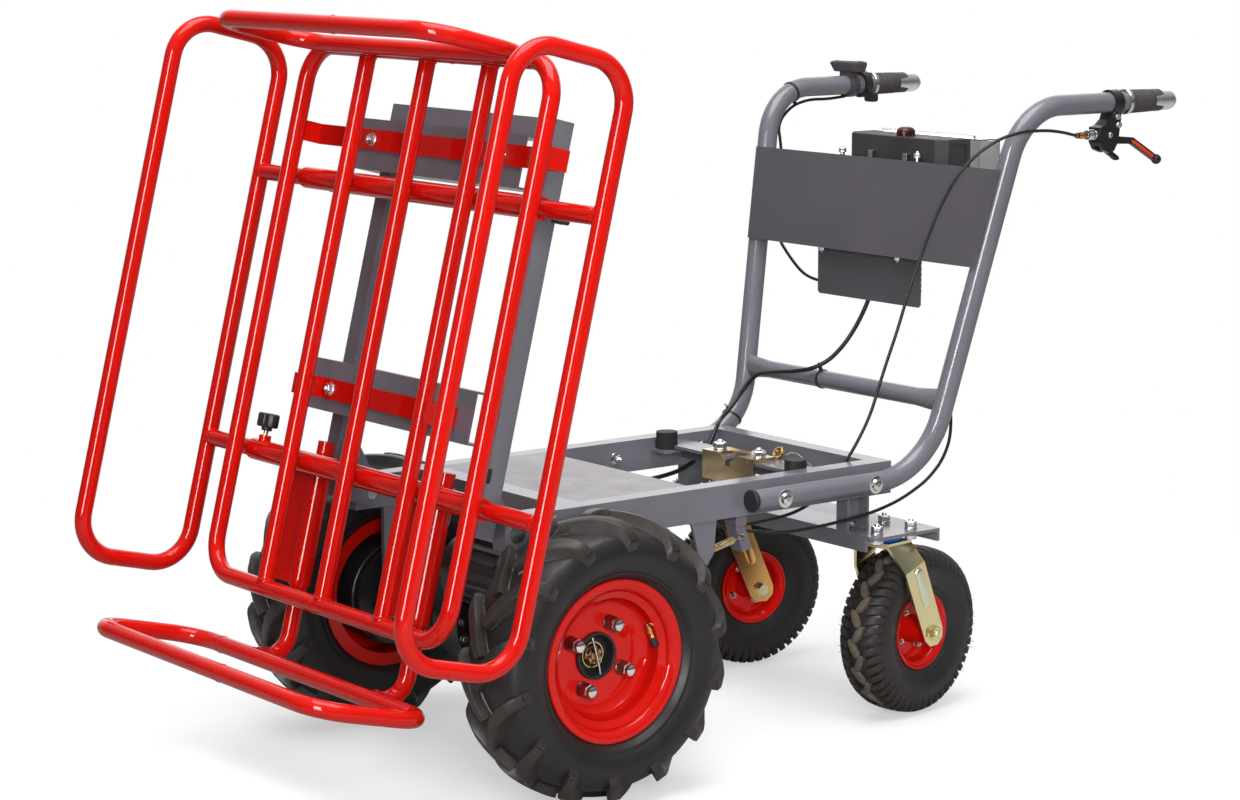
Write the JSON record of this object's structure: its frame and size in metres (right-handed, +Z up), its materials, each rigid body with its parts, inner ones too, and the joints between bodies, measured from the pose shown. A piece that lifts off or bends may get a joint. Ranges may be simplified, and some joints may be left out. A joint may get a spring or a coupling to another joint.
{
  "type": "electric wheelbarrow",
  "caption": "Powered platform barrow with a tipping rack of red tube, sliding side wings and front wall, lugged drive wheels, swivel casters and a tall bent-tube handle.",
  "frame": {"origin": "on the floor under the middle of the bounding box, with the bed tipped up", "axes": "+Z up, +Y from the rack to the handles, +X to the operator's left"},
  "size_m": [0.883, 1.6132, 1.0893],
  "materials": {
    "red_paint": "gloss powder coat",
    "grey_paint": "satin powder coat",
    "plate_paint": "textured powder coat",
    "yellow_zinc": "yellow passivated zinc",
    "bright_zinc": "bright zinc",
    "tyre_rubber": "moulded rubber",
    "black_rubber": "moulded rubber",
    "black_plastic": "moulded plastic",
    "clear_plastic": "clear moulding",
    "red_plastic": "moulded plastic",
    "black_paint": "black paint",
    "cast_metal": "painted casting",
    "bright_metal": "polished",
    "cable_jacket": "extruded jacket",
    "blue_seal": "moulded plastic"
  },
  "bodies": {
    "chassis": {"chassis_frame": "grey_paint", "deck_sheet": "grey_paint", "caster_crossarm": "grey_paint", "rubber_buffers": "black_rubber", "hinge_pins": "bright_zinc", "latch_plate": "yellow_zinc", "brake_spring": "bright_zinc", "handle_left": "grey_paint", "handle_right": "grey_paint", "handle_brace": "grey_paint", "panel_plate": "plate_paint", "controller_box": "plate_paint", "battery_box": "black_plastic", "battery_pack": "black_plastic", "grips": "black_rubber", "grip_caps": "bright_metal", "brake_perch": "black_paint", "display_unit": "black_plastic", "transaxle_housing": "black_paint", "drive_motor": "cast_metal", "caster_plates": "bright_zinc", "swivel_seals": "blue_seal", "brake_cable": "cable_jacket", "motor_lead": "cable_jacket", "sensor_lead": "cable_jacket", "throttle_lead": "cable_jacket"},
    "bed": {"tilt_frame": "grey_paint", "bed_panel": "red_paint", "rear_wall": "red_paint", "bed_sleeves": "red_paint", "mounting_strips": "red_paint", "latch_striker": "bright_zinc"},
    "brake_arm": {"brake_arm": "grey_paint"},
    "brake_lever": {"brake_lever": "black_paint"},
    "clear_cover": {"clear_cover": "clear_plastic"},
    "front_wall": {"front_wall": "red_paint"},
    "latch_claw": {"latch_claw": "bright_zinc"},
    "lock_lever": {"lock_lever": "black_paint"},
    "power_knob": {"power_knob": "red_plastic"},
    "throttle_lever": {"throttle_lever": "black_plastic"},
    "wing_left": {"wing_left": "red_paint"},
    "wing_right": {"wing_right": "red_paint"},
    "wheel_left": {"front_tyre_left": "tyre_rubber", "front_rim_left": "red_paint", "front_hub_left": "black_paint", "lug_nuts_left": "bright_zinc"},
    "caster_left": {"caster_fork_left": "yellow_zinc"},
    "caster_wheel_left": {"caster_tyre_left": "tyre_rubber", "caster_rim_left": "red_paint"},
    "knob_lower_left": {"knob_lower_left": "black_plastic"},
    "knob_upper_left": {"knob_upper_left": "black_plastic"},
    "wheel_right": {"front_tyre_right": "tyre_rubber", "front_rim_right": "red_paint", "front_hub_right": "black_paint", "lug_nuts_right": "bright_zinc"},
    "caster_right": {"caster_fork_right": "yellow_zinc"},
    "caster_wheel_right": {"caster_tyre_right": "tyre_rubber", "caster_rim_right": "red_paint"},
    "knob_lower_right": {"knob_lower_right": "black_plastic"},
    "knob_upper_right": {"knob_upper_right": "black_plastic"}
  },
  "joints": [
    {"name": "bed_tilt", "type": "hinge", "parent": "chassis", "child": "bed", "pos_m": [0, -0.40439, 0.375], "axis": [1, 0, 0], "range_deg": [-75.8, 0]},
    {"name": "front_wall_slide", "type": "slide", "parent": "bed", "child": "front_wall", "axis": [0, 0.2433, 0.97], "range_m": [-0.1, 0.04]},
    {"name": "wing_left_slide", "type": "slide", "parent": "bed", "child": "wing_left", "axis": [1, 0, 0], "range_m": [-0.085, 0.095]},
    {"name": "wheel_left_roll", "type": "hinge", "parent": "chassis", "child": "wheel_left", "pos_m": [0.302, -0.32639, 0.205], "axis": [1, 0, 0], "continuous": true},
    {"name": "caster_left_swivel", "type": "hinge", "parent": "chassis", "child": "caster_left", "pos_m": [0.206, 0.28061, 0.27], "axis": [0, 0, 1], "continuous": true},
    {"name": "caster_left_roll", "type": "hinge", "parent": "caster_left", "child": "caster_wheel_left", "pos_m": [0.19625, 0.34588, 0.13], "axis": [0.989, 0.1478, 0], "continuous": true},
    {"name": "knob_lower_left_turn", "type": "hinge", "parent": "bed", "child": "knob_lower_left", "pos_m": [0.273, -0.51426, 0.4762], "axis": [0, 0.2433, 0.97], "range_deg": [0, 540]},
    {"name": "knob_upper_left_turn", "type": "hinge", "parent": "bed", "child": "knob_upper_left", "pos_m": [0.28, -0.38521, 0.82632], "axis": [0, 0.97, -0.2433], "range_deg": [0, 540]},
    {"name": "wing_right_slide", "type": "slide", "parent": "bed", "child": "wing_right", "axis": [-1, 0, 0], "range_m": [-0.085, 0.095]},
    {"name": "wheel_right_roll", "type": "hinge", "parent": "chassis", "child": "wheel_right", "pos_m": [-0.302, -0.32639, 0.205], "axis": [1, 0, 0], "continuous": true},
    {"name": "caster_right_swivel", "type": "hinge", "parent": "chassis", "child": "caster_right", "pos_m": [-0.206, 0.28061, 0.27], "axis": [0, 0, 1], "continuous": true},
    {"name": "caster_right_roll", "type": "hinge", "parent": "caster_right", "child": "caster_wheel_right", "pos_m": [-0.19625, 0.34588, 0.13], "axis": [0.989, -0.1478, 0], "continuous": true},
    {"name": "knob_lower_right_turn", "type": "hinge", "parent": "bed", "child": "knob_lower_right", "pos_m": [-0.273, -0.51426, 0.4762], "axis": [0, 0.2433, 0.97], "range_deg": [0, 540]},
    {"name": "knob_upper_right_turn", "type": "hinge", "parent": "bed", "child": "knob_upper_right", "pos_m": [-0.28, -0.38521, 0.82632], "axis": [0, 0.97, -0.2433], "range_deg": [0, 540]},
    {"name": "brake_lever_squeeze", "type": "hinge", "parent": "chassis", "child": "brake_lever", "pos_m": [0.2925, 0.65461, 0.885], "axis": [1, 0, 0], "range_deg": [0, 25], "stiffness_Nm_per_rad": 2, "springref_deg": -8.59},
    {"name": "brake_arm_turn", "type": "hinge", "parent": "chassis", "child": "brake_arm", "pos_m": [0.17, 0.01461, 0.341], "axis": [1, 0, 0], "range_deg": [0, 14], "deforming": ["brake_spring"]},
    {"name": "lock_lever_turn", "type": "hinge", "parent": "chassis", "child": "lock_lever", "pos_m": [0.2925, 0.65661, 0.865], "axis": [1, 0, 0], "range_deg": [0, 20]},
    {"name": "throttle_turn", "type": "hinge", "parent": "chassis", "child": "throttle_lever", "pos_m": [-0.2925, 0.67761, 0.934], "axis": [0, 1, 0], "range_deg": [0, 45], "stiffness_Nm_per_rad": 0.4, "springref_deg": -17.19},
    {"name": "cover_open", "type": "hinge", "parent": "chassis", "child": "clear_cover", "pos_m": [0.045, 0.51511, 0.8785], "axis": [1, 0, 0], "range_deg": [0, 100]},
    {"name": "power_knob_turn", "type": "hinge", "parent": "chassis", "child": "power_knob", "pos_m": [0.046, 0.46661, 0.884], "axis": [0, 0, 1], "range_deg": [-90, 0]},
    {"name": "claw_turn", "type": "hinge", "parent": "chassis", "child": "latch_claw", "pos_m": [0.03, 0.15261, 0.366], "axis": [0, 1, 0], "range_deg": [-38, 0]}
  ],
  "couplings": [
    {"joint": "brake_arm_turn", "follows": "brake_lever_squeeze", "ratio": 0.5}
  ]
}
